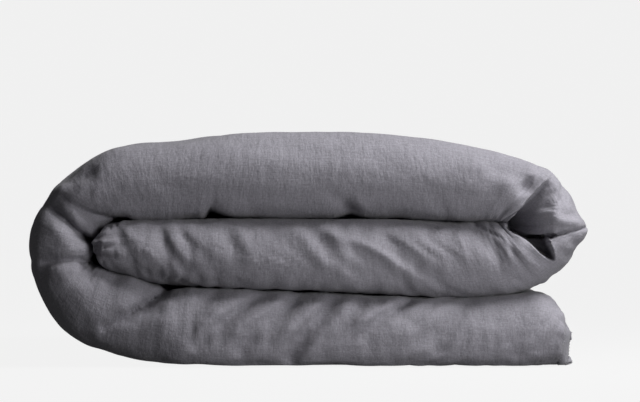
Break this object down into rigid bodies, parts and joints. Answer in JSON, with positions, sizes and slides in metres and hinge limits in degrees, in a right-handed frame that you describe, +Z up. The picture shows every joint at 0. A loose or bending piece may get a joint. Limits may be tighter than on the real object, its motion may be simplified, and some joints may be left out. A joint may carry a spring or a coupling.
{
  "type": "folded duvet",
  "caption": "Single duvet in a buttoned linen cover, folded in half lengthwise and then inwards in three, with one long fold at the front",
  "frame": {"origin": "middle of the folded footprint, on the surface the duvet lies on", "axes": "+Z up; +X from the big fold at the left of the picture to the fold at its right; +Y from the long front fold to the open edges at the back"},
  "size_m": [0.61, 0.7, 0.26],
  "materials": {
    "linen_cover": "washed plain-weave linen, mid grey",
    "cotton_ticking": "tight cotton cambric, off-white",
    "filling": "loose fibre wadding",
    "button_shell": "polished horn-look resin",
    "sewing_thread": "polyester thread",
    "cotton_tape": "woven cotton tape",
    "label_satin": "blank satin ribbon"
  },
  "bodies": {
    "lower_layer": {"cover_face_lower": "linen_cover", "cover_back_lower": "linen_cover", "ticking_outer_lower": "cotton_ticking", "ticking_inner_lower": "cotton_ticking", "fill_pocket_lower_1": "filling", "fill_pocket_lower_2": "filling", "fill_pocket_lower_3": "filling", "fill_pocket_lower_4": "filling", "buttonhole_band": "linen_cover", "button_band": "linen_cover", "button_1": "button_shell", "button_thread_1": "sewing_thread", "button_2": "button_shell", "button_thread_2": "sewing_thread", "button_3": "button_shell", "button_thread_3": "sewing_thread", "button_4": "button_shell", "button_thread_4": "sewing_thread", "button_5": "button_shell", "button_thread_5": "sewing_thread", "button_6": "button_shell", "button_thread_6": "sewing_thread", "insert_loop_lower_bottom": "cotton_tape", "corner_tie_lower_bottom": "cotton_tape", "insert_loop_lower_top": "cotton_tape", "corner_tie_lower_top": "cotton_tape", "care_label": "label_satin"},
    "left_fold": {"cover_face_left_fold": "linen_cover", "cover_back_left_fold": "linen_cover", "ticking_outer_left_fold": "cotton_ticking", "ticking_inner_left_fold": "cotton_ticking", "fill_pocket_left_fold_1": "filling", "fill_pocket_left_fold_2": "filling", "fill_pocket_left_fold_3": "filling", "fill_pocket_left_fold_4": "filling"},
    "upper_pack": {"cover_face_upper": "linen_cover", "cover_back_upper": "linen_cover", "ticking_outer_upper": "cotton_ticking", "ticking_inner_upper": "cotton_ticking", "fill_pocket_top_1": "filling", "fill_pocket_top_2": "filling", "fill_pocket_top_3": "filling", "fill_pocket_top_4": "filling", "fill_pocket_right_fold_1": "filling", "fill_pocket_right_fold_2": "filling", "fill_pocket_right_fold_3": "filling", "fill_pocket_right_fold_4": "filling", "fill_pocket_middle_1": "filling", "fill_pocket_middle_2": "filling", "fill_pocket_middle_3": "filling", "fill_pocket_middle_4": "filling", "insert_loop_middle_bottom": "cotton_tape", "corner_tie_middle_bottom": "cotton_tape", "insert_loop_middle_top": "cotton_tape", "corner_tie_middle_top": "cotton_tape"}
  },
  "joints": [
    {"name": "left_fold_lower", "type": "hinge", "parent": "lower_layer", "child": "left_fold", "pos_m": [-0.2771, 0, 0.0279], "axis": [0, -1, 0], "range_deg": [0, 90]},
    {"name": "left_fold_upper", "type": "hinge", "parent": "left_fold", "child": "upper_pack", "pos_m": [-0.2771, 0, 0.2321], "axis": [0, -1, 0], "range_deg": [0, 90]}
  ],
  "couplings": [
    {"joint": "left_fold_lower", "follows": "left_fold_upper", "ratio": 1}
  ]
}
